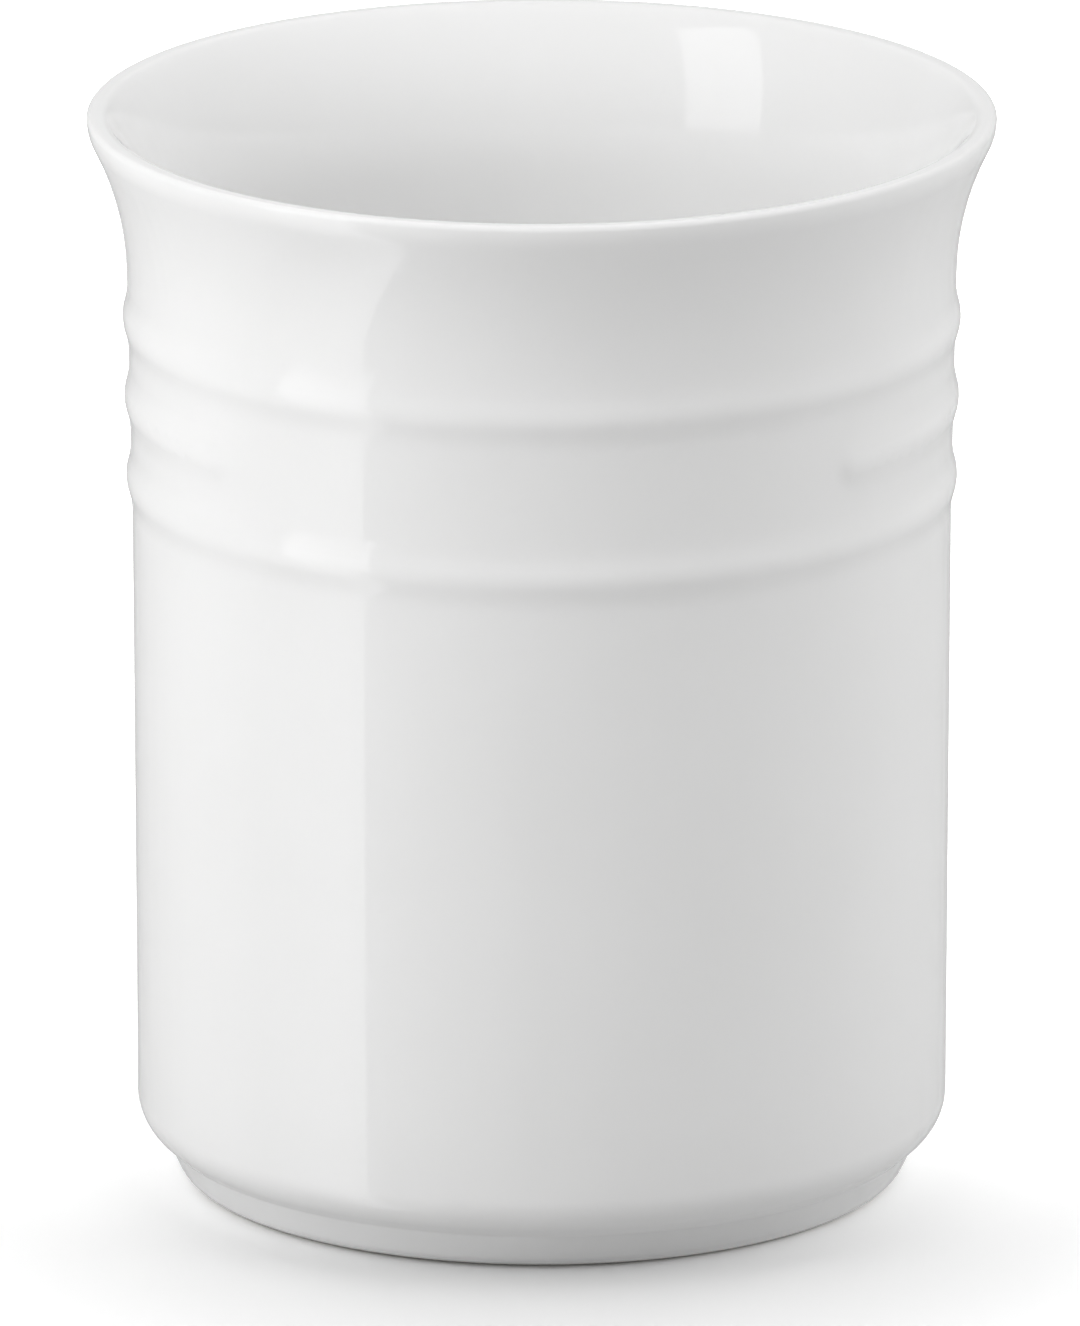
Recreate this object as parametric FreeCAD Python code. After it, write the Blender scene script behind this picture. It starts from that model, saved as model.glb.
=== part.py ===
"""Utensil crock: a cast stoneware jar with a flared rim, three moulded rings and a turned foot.

The middle ring stops short on both sides of the front and runs out softly into the wall. The clay is
dipped in white glaze outside, lined with it inside and glazed under the base. The foot is wiped dry.
Millimetres. Z is the jar's axis, Z = 0 the surface it stands on, and the front faces -Y.
"""
import FreeCAD
import Part
import math
import os

# Overall
height = 152.0            # standing face to the crown of the rim
wall_d = 112.8            # outside of the wall, its line carried down to the standing face
wall_draft = 0.33         # degrees that the wall leans outwards, going up
collar_draft = 1.06       # degrees that the ringed collar leans outwards

# Rim
rim_out = 5.6             # widest edge of the rim, beyond the collar at the top ring
lip_under_r = 6.0         # round below the widest edge
lip_edge_r = 0.8          # round between the widest edge and the crown
crown = 1.0               # flat on top of the rim
lip_inner_r = 1.6         # round between the crown and the inside
throat = 1.7              # plain collar between the top ring and the start of the flare

# Moulded rings
ring_drop = 29.0          # crown of the rim down to the top ring
ring_pitch = 11.4
ring_height = 0.73
ring_crest_r = 5.0
ring_root_r = 10.0        # hollow between the crest of a ring and the wall
ring_stop = 50.0          # degrees from the front where the middle ring's rounded ends start

# Foot and lower corner
neck_in = 4.1             # groove above the foot, inside the wall line
neck_r = 1.3              # hollow of that groove
neck_rise = 1.4           # groove above the middle of the foot's round
foot_taper = 1.05         # side of the foot, inside the groove
foot_edge_r = 3.0         # outer round of the foot
foot_land = 2.0           # flat that the jar stands on
foot_inner_r = 1.6        # inner round of the foot
corner_rise = 7.0         # groove up to the end of the corner's round
corner_r = 6.3

# Inside and underside
wall = 5.0
floor = 5.0
well_corner_r = 9.0       # round between the wall and the floor of the well
recess = 3.0              # hollow under the base
recess_corner_r = 1.5
recess_taper = 0.6        # recess narrows by this much between its two rounds

# Glaze
glaze = 0.4
glaze_line = 0.5          # bare clay at the bottom of the foot, up to the glaze's edge

overrun = 5.0             # cutting solids reach past what they cut by this much
touching = 1e-4           # ends of arcs nearer than this are one point
axis_foot = FreeCAD.Vector(0, 0, 0)
axis_up = FreeCAD.Vector(0, 0, 1)
across = FreeCAD.Vector(0, 1, 0)
quarter_turn = 90.0
whole_turn = 360.0
front_bearing = -90.0


def wall_r(z):
    """Radius of the wall line at height z."""
    return wall_d/2+z*math.tan(math.radians(wall_draft))


# Heights that several outlines share
neck_z = foot_edge_r+neck_rise
corner_z = neck_z+corner_rise
top_ring_z = height-ring_drop
middle_ring_z = top_ring_z-ring_pitch
low_ring_z = middle_ring_z-ring_pitch
floor_z = recess+floor


def collar_r(z):
    """Radius of the line that the rings stand on, which leaves the wall line at the lowest ring."""
    return wall_r(low_ring_z)+(z-low_ring_z)*math.tan(math.radians(collar_draft))


ring_reach = ring_crest_r+ring_root_r
ring_half = math.sqrt(ring_reach**2-(ring_reach-ring_height)**2)
flare_z = top_ring_z+ring_half+throat
rim_r = collar_r(top_ring_z)+rim_out
crown_r = rim_r-lip_edge_r-crown
seam_r = rim_r-lip_edge_r-crown/2
foot_r = wall_r(0)-neck_in-foot_taper-foot_edge_r


def slant(degrees):
    """Radial offset of a line that leans by these degrees, for each millimetre square to it."""
    return 1/math.cos(math.radians(degrees))


def flare_arc(start_r, draft, lip, lip_r):
    """Centre and radius of the arc that leaves a wall line at flare_z and meets the lip's round.

    lip_r is positive where the arc meets the round from outside, negative where it wraps round it.
    """
    lean = math.radians(draft)
    out = FreeCAD.Vector(math.cos(lean), 0, -math.sin(lean))
    start = FreeCAD.Vector(start_r, 0, flare_z)
    gap = start-lip
    radius = (gap.dot(gap)-lip_r**2)/(2*(lip_r-gap.dot(out)))
    return start+out*radius, radius


def belt(circles):
    """Face inside a belt run round signed circles (r, z, radius) and closed by a line from last to first.

    Positive circles are rounded corners of the face, negative ones are hollows, zero is a sharp corner.
    """
    arrive = [FreeCAD.Vector(circles[0][0], 0, circles[0][1])]
    leave = []
    bearings = []
    for (r1, z1, s1), (r2, z2, s2) in zip(circles, circles[1:]):
        run = math.sqrt(max((r2-r1)**2+(z2-z1)**2-(s2-s1)**2, 0))
        bearing = math.atan2(z2-z1, r2-r1)-math.atan2(s2-s1, run)
        side = FreeCAD.Vector(-math.sin(bearing), 0, math.cos(bearing))
        leave.append(FreeCAD.Vector(r1, 0, z1)-side*s1)
        arrive.append(leave[-1] if run < touching else FreeCAD.Vector(r2, 0, z2)-side*s2)
        bearings.append(bearing)
    edges = []
    for i, (start, end) in enumerate(zip(leave, arrive[1:])):
        r, z, s = circles[i]
        if i and s:
            halfway = bearings[i-1]+math.remainder(bearings[i]-bearings[i-1], math.tau)/2
            bulge = FreeCAD.Vector(r+s*math.sin(halfway), 0, z-s*math.cos(halfway))
            edges.append(Part.Arc(arrive[i], bulge, start).toShape())
        if start.distanceToPoint(end) > touching:
            edges.append(Part.LineSegment(start, end).toShape())
    edges.append(Part.LineSegment(arrive[-1], leave[0]).toShape())
    return Part.Face(Part.Wire(edges))


def turned(circles):
    """Solid of revolution about the jar's axis, made of four quarter turns."""
    quarter = belt(circles).revolve(axis_foot, axis_up, quarter_turn)
    return quarter.fuse([quarter.rotated(axis_foot, axis_up, n*quarter_turn) for n in (1, 2, 3)])


def ring_circles(z, skin):
    """Root, crest and root of a ring on the collar at height z, the surface taken in by skin."""
    lean = math.radians(collar_draft)
    along = FreeCAD.Vector(math.sin(lean), 0, math.cos(lean))
    out = FreeCAD.Vector(math.cos(lean), 0, -math.sin(lean))
    seat = FreeCAD.Vector(collar_r(z), 0, z)
    crest = seat+out*(ring_height-ring_crest_r)
    low = seat-along*ring_half+out*ring_root_r
    high = seat+along*ring_half+out*ring_root_r
    return [
        (low.x, low.z, -ring_root_r-skin),
        (crest.x, crest.z, ring_crest_r-skin),
        (high.x, high.z, -ring_root_r-skin),
    ]


def outside(skin):
    """The jar's outer form without its hollows, every surface but the standing face taken in by skin."""
    lip = FreeCAD.Vector(rim_r-lip_under_r, 0, height-lip_edge_r)
    flare, flare_r = flare_arc(collar_r(flare_z), collar_draft, lip, lip_under_r)
    form = turned([
        (0, 0, 0),
        (foot_r, foot_edge_r-skin, foot_edge_r-skin),
        (wall_r(0)-neck_in+neck_r, neck_z, -neck_r-skin),
        (wall_r(corner_z)-corner_r*slant(wall_draft), corner_z, corner_r-skin),
        *ring_circles(low_ring_z, skin),
        *ring_circles(top_ring_z, skin),
        (flare.x, flare.z, -flare_r-skin),
        (lip.x, lip.z, lip_under_r-skin),
        (rim_r-lip_edge_r, height-lip_edge_r, lip_edge_r-skin),
        (0, height-skin, 0),
    ])
    return rooted(form.fuse(middle_ring(skin)), skin)


def middle_ring(skin):
    """The ring that is open at the front: a bent rod with round ends, sunk in the wall to its crest."""
    _, (crest_r, crest_z, rod_r), _ = ring_circles(middle_ring_z, skin)
    rod = Part.Face(Part.Wire(Part.makeCircle(rod_r, FreeCAD.Vector(crest_r, 0, crest_z), across)))
    rod.rotate(axis_foot, axis_up, front_bearing+ring_stop)
    pieces = [rod.revolve(axis_foot, axis_up, whole_turn-2*ring_stop)]
    for side in (1, -1):
        bearing = math.radians(front_bearing+side*ring_stop)
        centre = FreeCAD.Vector(crest_r*math.cos(bearing), crest_r*math.sin(bearing), crest_z)
        onwards = FreeCAD.Vector(math.sin(bearing), -math.cos(bearing), 0)*side
        pieces.append(Part.makeSphere(rod_r, centre, onwards, 0, quarter_turn, whole_turn))
    return pieces


def rooted(form, skin):
    """The form with the hollow of a root all round the middle ring, where it meets the wall."""
    edges = []
    for edge in form.Edges:
        middle = edge.valueAt(sum(edge.ParameterRange)/2)
        off_wall = math.hypot(middle.x, middle.y)-collar_r(middle.z)+skin*slant(collar_draft)
        if abs(middle.z-middle_ring_z) < ring_crest_r and abs(off_wall) < ring_height/2:
            edges.append(edge)
    return form.makeFillet(ring_root_r+skin, edges)


def well(skin):
    """The hollow inside the jar, open upwards, its wall taken out by skin. It ends at the rim's seam."""
    lip = FreeCAD.Vector(crown_r, 0, height-lip_inner_r)
    flare, flare_r = flare_arc(wall_r(flare_z)-wall, wall_draft, lip, -lip_inner_r)
    corner_top = floor_z+well_corner_r
    return turned([
        (0, floor_z-skin, 0),
        (wall_r(corner_top)-wall-well_corner_r*slant(wall_draft), corner_top, well_corner_r+skin),
        (flare.x, flare.z, skin-flare_r),
        (lip.x, lip.z, skin-lip_inner_r),
        (seam_r, height-skin, 0),
        (seam_r, height+overrun, 0),
        (0, height+overrun, 0),
    ])


def recess_under(skin):
    """The hollow under the base, inside the ring that the jar stands on, taken out by skin."""
    land_r = foot_r-foot_land
    return turned([
        (0, -overrun, 0),
        (foot_r-foot_land/2, -overrun, 0),
        (foot_r-foot_land/2, 0, 0),
        (land_r, foot_inner_r-skin, skin-foot_inner_r),
        (land_r-foot_inner_r-recess_taper-recess_corner_r, recess-recess_corner_r, recess_corner_r+skin),
        (0, recess+skin, 0),
    ])


def wiped_foot():
    """Everything below the glaze's edge, where the foot is left bare."""
    return Part.makeCylinder(wall_r(0), overrun+glaze_line, FreeCAD.Vector(0, 0, -overrun))


def build():
    """The pieces by name: the fired clay and its three coats of glaze."""
    clay_form = outside(glaze)
    bare = wiped_foot()
    return {
        "stoneware_body": clay_form.cut([well(glaze), recess_under(glaze)]),
        "outer_glaze": outside(0).cut([clay_form, well(glaze), bare]),
        "inner_glaze": well(glaze).cut(well(0)),
        "base_glaze": recess_under(glaze).cut([recess_under(0), bare]),
    }


def main():
    os.makedirs("parts", exist_ok=True)
    for name, shape in build().items():
        piece, = shape.Solids
        print(name, "valid" if piece.isValid() else "not valid", round(piece.Volume), "mm3")
        piece.exportStep(os.path.join("parts", name+".step"))


main()
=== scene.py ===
"""Studio picture of a white glazed stoneware utensil crock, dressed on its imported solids.

Metres and degrees. The crock stands on Z = 0 with its front towards -Y. Azimuths of lights are measured
about the crock from the camera's side: positive to the right, negative to the left.
"""
import bpy
import math
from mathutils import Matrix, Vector

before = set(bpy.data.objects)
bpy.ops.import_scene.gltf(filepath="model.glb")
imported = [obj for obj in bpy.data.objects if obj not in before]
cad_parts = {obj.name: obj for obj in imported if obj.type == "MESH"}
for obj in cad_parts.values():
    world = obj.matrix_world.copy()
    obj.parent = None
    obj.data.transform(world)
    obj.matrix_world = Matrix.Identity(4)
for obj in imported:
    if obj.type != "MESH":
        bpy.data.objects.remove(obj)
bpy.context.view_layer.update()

# Camera: pixel values are in the photograph's frame of 1080 x 1326
photo_long_side = 1326
photo_middle_x = 540
axis_x = 541.7            # the crock's axis
focal_pixels = 25148
camera_distance = 3.5
camera_pitch = 15.878
camera_turn = 1.4         # the camera stands this far to the right of the crock's front
aim_height = 0.072575     # of the point on the crock's axis that the camera looks at
sensor = 36.0             # millimetres
view_depth = 100.0        # the camera sees no farther

# Glaze: colours, roughness, and the size and depth of its unevenness
glaze_dim = (0.905, 0.905, 0.902)
glaze_light = (0.915, 0.915, 0.913)
glaze_pooled = (0.898, 0.899, 0.897)
glaze_index = 1.5
gloss_sharp = 0.035
gloss_soft = 0.05
cloud_size = 0.03         # between the dim and the light tone
gloss_size = 0.012        # between sharp and soft gloss
wave_size = 0.025
wave_depth = 0.00002
wave_detail = 1
peel_size = 0.004         # orange peel
peel_depth = 0.000003

# Heights at which each coat is still pooled, and at which it has its usual tone
outer_pool = (0.0045, 0.008)
inner_pool = (0.009, 0.02)
base_pool = (0.0025, 0.003)

# Clay
clay_dark = (0.82, 0.8, 0.76)
clay_light = (0.87, 0.855, 0.82)
clay_speck = (0.6, 0.53, 0.44)
clay_roughness = 0.85
clay_cloud_size = 0.006
speck_size = 0.0006
speck_start = 0.66        # noise at which a speck starts, and at which it has its full colour
speck_full = 0.74
grain_size = 0.0005
grain_depth = 0.00006
grain_detail = 3

# Noise: its usual detail, and the levels between which most of it lies
noise_detail = 2
noise_low = 0.3
noise_high = 0.7

# Surround: radiances, where 1 is white
white = 1.0               # what the camera sees
sky = 0.17                # what lights the crock
sky_reflected = 0.32      # shows in the glaze above the horizon
ground_reflected = 0.64   # shows in the glaze below the horizon
horizon_low = -0.2        # sines of the elevations between which one turns into the other
horizon_high = 0.05
back_reflected = 0.54     # shows in the glaze towards the back
back_low = 0.35           # shares of a direction that point to the back, between which it takes over
back_high = 0.8

# Floor: distances are from the crock's axis
floor_size = 8.0
floor_gap = 0.00005       # below the standing face
floor_albedo = 0.8        # as it lights the crock
floor_seen_albedo = 1.15  # as the camera sees it
shadow_radius = 0.075     # up to here it shows only its shading
shadow_fade = 0.2         # from here on
floor_glow = 0.6          # it shows the camera this much light of its own as well
far_radius = 0.5          # between these two it passes out of the lamps' light
far_fade = 2.0
far_glow = 0.4            # and this much more of its own takes their place

# Soft lights: where they stand as seen from the crock, and their size
light_height = 0.08       # of the point on the crock's axis that they face
side_box = dict(azimuth=-62.5, elevation=25, distance=0.55, width=0.24, height=0.75)
front_box = dict(azimuth=-40, elevation=38, distance=1.1, width=1.2, height=0.8)
left_wall = dict(azimuth=-105, elevation=15, distance=1.1, width=1.6, height=1.3)
right_wall = dict(azimuth=105, elevation=15, distance=1.1, width=1.6, height=1.3)
right_box = dict(azimuth=75, elevation=55, distance=1.1, width=0.8, height=0.8)
top_box = dict(azimuth=0, elevation=90, distance=1.1, width=0.8, height=0.8)
back_wall = dict(azimuth=180, elevation=25, distance=1.1, width=1.6, height=1.2)

# Radiances of the lights that reach the crock, and of those that reach the floor
crock_lights = [
    ("side", side_box, 1.84),
    ("front", front_box, 1.68),
    ("left", left_wall, 0.27),
    ("right", right_wall, 0.86),
    ("right_high", right_box, 2.05),
    ("overhead", top_box, 0.57),
    ("back", back_wall, 0.6),
]
floor_lights = [
    ("floor_left", left_wall, 2.44),
    ("floor_right", right_wall, 2.53),
    ("floor_back", back_wall, 2.29),
]

# Cards that show in the glaze: a softbox, and its reflection in the ground. The values of an edge are the
# azimuths of its two ends and its height
card_distance = 0.48
key_low_edge = (-44.3, -69, 0)
key_high_edge = (-50.4, -81.5, 0.78)
key_radiance = 1.95
low_card_low_edge = (-48.2, -86, -0.6)
low_card_high_edge = (-48.2, -86, 0)
low_card_radiance = 1.88
low_card_dim_radiance = 0.53

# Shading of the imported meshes
weld_gap = 1e-6
corner_angle = 50         # sharper edges than this stay corners


def towards(azimuth, elevation):
    """Unit vector from the crock at an azimuth from the camera's side and an elevation."""
    a = math.radians(azimuth+camera_turn)
    e = math.radians(elevation)
    return Vector((math.sin(a)*math.cos(e), -math.cos(a)*math.cos(e), math.sin(e)))


def up(height):
    """Vector that rises by a height."""
    return Vector((0, 0, height))


def node_tree(owner):
    """Empty node tree of a new material or world."""
    owner.use_nodes = True
    owner.node_tree.nodes.clear()
    return owner.node_tree


def wire(tree, source, target):
    """Links an output to an input."""
    tree.links.new(source, target)


def feed(tree, slot, value):
    """Gives an input a number, a colour or the output of another node."""
    if isinstance(value, bpy.types.NodeSocket):
        wire(tree, value, slot)
    elif isinstance(value, tuple):
        slot.default_value = (*value, 1)
    else:
        slot.default_value = value


def add(tree, kind, **settings):
    """New node, with its own settings."""
    node = tree.nodes.new(kind)
    for name, value in settings.items():
        setattr(node, name, value)
    return node


def object_place(tree):
    """Coordinates in the object's own frame."""
    return add(tree, "ShaderNodeTexCoord").outputs["Object"]


def split(tree, vector):
    """Outputs X, Y and Z of a vector."""
    node = add(tree, "ShaderNodeSeparateXYZ")
    wire(tree, vector, node.inputs[0])
    return node.outputs


def maths(tree, operation, first, second):
    """Output of a Math node on two values."""
    node = add(tree, "ShaderNodeMath", operation=operation)
    feed(tree, node.inputs[0], first)
    feed(tree, node.inputs[1], second)
    return node.outputs[0]


def mix(tree, factor, first, second):
    """Number that goes from first to second with factor. A Mix node's inputs 2 and 3 are its numbers."""
    node = add(tree, "ShaderNodeMix", data_type="FLOAT")
    wire(tree, factor, node.inputs["Factor"])
    feed(tree, node.inputs[2], first)
    feed(tree, node.inputs[3], second)
    return node.outputs[0]


def blend_colours(tree, factor, first, second):
    """Colour that goes from first to second with factor. A Mix node's inputs 6 and 7 are its colours."""
    node = add(tree, "ShaderNodeMix", data_type="RGBA")
    wire(tree, factor, node.inputs["Factor"])
    feed(tree, node.inputs[6], first)
    feed(tree, node.inputs[7], second)
    return node.outputs[2]


def noise(tree, place, size, detail=noise_detail):
    """Noise from 0 to 1, with lumps of about a size."""
    node = add(tree, "ShaderNodeTexNoise")
    wire(tree, place, node.inputs["Vector"])
    node.inputs["Scale"].default_value = 1/size
    node.inputs["Detail"].default_value = detail
    return node.outputs["Fac"]


def ramp(tree, value, low, high, first, last):
    """Value mapped smoothly from low..high to first..last."""
    node = add(tree, "ShaderNodeMapRange", interpolation_type="SMOOTHSTEP")
    wire(tree, value, node.inputs["Value"])
    for name, number in zip(("From Min", "From Max", "To Min", "To Max"), (low, high, first, last)):
        node.inputs[name].default_value = number
    return node.outputs["Result"]


def bump(tree, height, depth, under=None):
    """Normal of a surface that height moves by up to depth, over another normal if there is one."""
    node = add(tree, "ShaderNodeBump")
    node.inputs["Distance"].default_value = depth
    wire(tree, height, node.inputs["Height"])
    if under:
        wire(tree, under, node.inputs["Normal"])
    return node.outputs["Normal"]


def show(tree, shader, output="ShaderNodeOutputMaterial"):
    """Makes a shader the tree's surface."""
    wire(tree, shader.outputs[0], add(tree, output).inputs["Surface"])


def white_glaze(coat, pool):
    """Glossy white glaze: faint clouds of tone, a dimmer one where it pools, soft waves and orange peel."""
    material = bpy.data.materials.new("white_glaze_"+coat)
    tree = node_tree(material)
    place = object_place(tree)
    shader = add(tree, "ShaderNodeBsdfPrincipled")
    shader.inputs["IOR"].default_value = glaze_index
    show(tree, shader)

    clouds = ramp(tree, noise(tree, place, cloud_size), noise_low, noise_high, 0, 1)
    tone = blend_colours(tree, clouds, glaze_dim, glaze_light)
    pooled = ramp(tree, split(tree, place)["Z"], *pool, 1, 0)
    wire(tree, blend_colours(tree, pooled, tone, glaze_pooled), shader.inputs["Base Color"])
    spots = noise(tree, place, gloss_size)
    gloss = ramp(tree, spots, noise_low, noise_high, gloss_sharp, gloss_soft)
    wire(tree, gloss, shader.inputs["Roughness"])
    waves = bump(tree, noise(tree, place, wave_size, wave_detail), wave_depth)
    wire(tree, bump(tree, noise(tree, place, peel_size), peel_depth, waves), shader.inputs["Normal"])
    return material


def bare_stoneware():
    """Dry fired clay: fine grain, clouds of tone and darker specks."""
    material = bpy.data.materials.new("bare_stoneware")
    tree = node_tree(material)
    place = object_place(tree)
    shader = add(tree, "ShaderNodeBsdfPrincipled")
    shader.inputs["Roughness"].default_value = clay_roughness
    show(tree, shader)

    body = blend_colours(tree, noise(tree, place, clay_cloud_size), clay_dark, clay_light)
    specks = ramp(tree, noise(tree, place, speck_size), speck_start, speck_full, 0, 1)
    wire(tree, blend_colours(tree, specks, body, clay_speck), shader.inputs["Base Color"])
    grain = noise(tree, place, grain_size, grain_detail)
    wire(tree, bump(tree, grain, grain_depth), shader.inputs["Normal"])
    return material


def dress(node, material):
    """Gives a CAD node its one material, and shading that is smooth but for its true corners."""
    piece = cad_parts[node]
    piece.data.materials.clear()
    piece.data.materials.append(material)
    piece.modifiers.new("weld", "WELD").merge_threshold = weld_gap
    piece.modifiers.new("corners", "EDGE_SPLIT").split_angle = math.radians(corner_angle)
    piece.modifiers.new("even_shading", "WEIGHTED_NORMAL").mode = "CORNER_ANGLE"


def stage_sheet(name, corners):
    """Four-sided sheet of the stage, and the node tree of its new material."""
    mesh = bpy.data.meshes.new(name)
    mesh.from_pydata(corners, [], [(0, 1, 2, 3)])
    material = bpy.data.materials.new(name)
    mesh.materials.append(material)
    sheet = bpy.data.objects.new(name, mesh)
    bpy.context.scene.collection.objects.link(sheet)
    return sheet, node_tree(material)


def floor():
    """Pale floor that shows white to the camera outside the crock's shadow."""
    half = floor_size/2
    corners = [(x*half, y*half, -floor_gap) for x, y in ((-1, -1), (1, -1), (1, 1), (-1, 1))]
    plane, tree = stage_sheet("floor", corners)
    plane.visible_glossy = False
    seen = add(tree, "ShaderNodeLightPath").outputs["Is Camera Ray"]
    surface = add(tree, "ShaderNodeBsdfDiffuse")
    tone = blend_colours(tree, seen, (floor_albedo,)*3, (floor_seen_albedo,)*3)
    wire(tree, tone, surface.inputs["Color"])
    away = add(tree, "ShaderNodeVectorMath", operation="LENGTH")
    wire(tree, object_place(tree), away.inputs[0])
    near = ramp(tree, away.outputs["Value"], shadow_radius, shadow_fade, 0, floor_glow)
    far = ramp(tree, away.outputs["Value"], far_radius, far_fade, 0, far_glow)
    glow = add(tree, "ShaderNodeEmission")
    strength = maths(tree, "MULTIPLY", maths(tree, "ADD", near, far), seen)
    wire(tree, strength, glow.inputs["Strength"])
    both = add(tree, "ShaderNodeAddShader")
    wire(tree, surface.outputs[0], both.inputs[0])
    wire(tree, glow.outputs[0], both.inputs[1])
    show(tree, both)
    return plane


def surround():
    """World: white to the camera, even light on the crock, a pale ground and a dimmer sky in the glaze."""
    world = bpy.data.worlds.new("surround")
    bpy.context.scene.world = world
    tree = node_tree(world)
    path = add(tree, "ShaderNodeLightPath").outputs
    background = add(tree, "ShaderNodeBackground")
    background.inputs["Color"].default_value = (1, 1, 1, 1)
    way = split(tree, add(tree, "ShaderNodeTexCoord").outputs["Generated"])
    front = ramp(tree, way["Z"], horizon_low, horizon_high, ground_reflected, sky_reflected)
    mirrored = mix(tree, ramp(tree, way["Y"], back_low, back_high, 0, 1), front, back_reflected)
    seen = maths(tree, "MAXIMUM", path["Is Camera Ray"], path["Is Transmission Ray"])
    strength = mix(tree, path["Is Glossy Ray"], mix(tree, seen, sky, white), mirrored)
    wire(tree, strength, background.inputs["Strength"])
    show(tree, background, "ShaderNodeOutputWorld")


def reach(name, ground, link_state):
    """What a light reaches: with INCLUDE the floor alone, with EXCLUDE everything else."""
    things = bpy.data.collections.new(name)
    things.objects.link(ground)
    things.collection_objects[0].light_linking.link_state = link_state
    return things


def panel(name, reaches, radiance, azimuth, elevation, distance, width, height):
    """Rectangular soft light that faces the crock and doesn't show in the glaze."""
    data = bpy.data.lights.new(name, "AREA")
    data.shape = "RECTANGLE"
    data.size = width
    data.size_y = height
    data.energy = radiance*math.pi*width*height
    light = bpy.data.objects.new(name, data)
    bpy.context.scene.collection.objects.link(light)
    way = towards(azimuth, elevation)
    light.location = way*distance+up(light_height)
    light.rotation_mode = "QUATERNION"
    light.rotation_quaternion = way.to_track_quat("Z", "Y")
    light.visible_camera = False
    light.visible_glossy = False
    light.light_linking.receiver_collection = reaches


def card(name, low_edge, high_edge, first_radiance, last_radiance):
    """Card that shows only in the glaze, its radiance fading from its first side to its last."""
    first, last, low = low_edge
    high_first, high_last, high = high_edge
    ends = ((first, low), (last, low), (high_last, high), (high_first, high))
    corners = [towards(azimuth, 0)*card_distance+up(height) for azimuth, height in ends]
    sheet, tree = stage_sheet(name, corners)
    sheet.visible_camera = False
    sheet.visible_diffuse = False
    sheet.visible_shadow = False
    sides = sheet.data.uv_layers.new(name="sides")
    for corner, place in zip(sides.data, ((0, 0), (1, 0), (1, 1), (0, 1))):
        corner.uv = place
    across = split(tree, add(tree, "ShaderNodeTexCoord").outputs["UV"])["X"]
    glow = add(tree, "ShaderNodeEmission")
    wire(tree, ramp(tree, across, 0, 1, first_radiance, last_radiance), glow.inputs["Strength"])
    show(tree, glow)


def camera():
    """Camera at the photograph's angle, a little to the side so that the axis is where it is there."""
    data = bpy.data.cameras.new("camera")
    data.sensor_width = sensor
    data.lens = focal_pixels/photo_long_side*sensor
    data.clip_end = view_depth
    eye = bpy.data.objects.new("camera", data)
    bpy.context.scene.collection.objects.link(eye)
    side_step = (photo_middle_x-axis_x)/focal_pixels*camera_distance
    way = towards(0, camera_pitch)
    eye.location = way*camera_distance+towards(90, 0)*side_step+up(aim_height)
    eye.rotation_mode = "QUATERNION"
    eye.rotation_quaternion = way.to_track_quat("Z", "Y")
    bpy.context.scene.camera = eye


dress("outer_glaze", white_glaze("outer", outer_pool))
dress("inner_glaze", white_glaze("inner", inner_pool))
dress("base_glaze", white_glaze("base", base_pool))
dress("stoneware_body", bare_stoneware())
surround()
ground = floor()
on_crock = reach("on_crock", ground, "EXCLUDE")
on_floor = reach("on_floor", ground, "INCLUDE")
for lights, reaches in ((crock_lights, on_crock), (floor_lights, on_floor)):
    for name, place, radiance in lights:
        panel(name, reaches, radiance, **place)
card("key", key_low_edge, key_high_edge, key_radiance, key_radiance)
card("low_card", low_card_low_edge, low_card_high_edge, low_card_radiance, low_card_dim_radiance)
camera()

bpy.context.scene.view_settings.view_transform = "Standard"
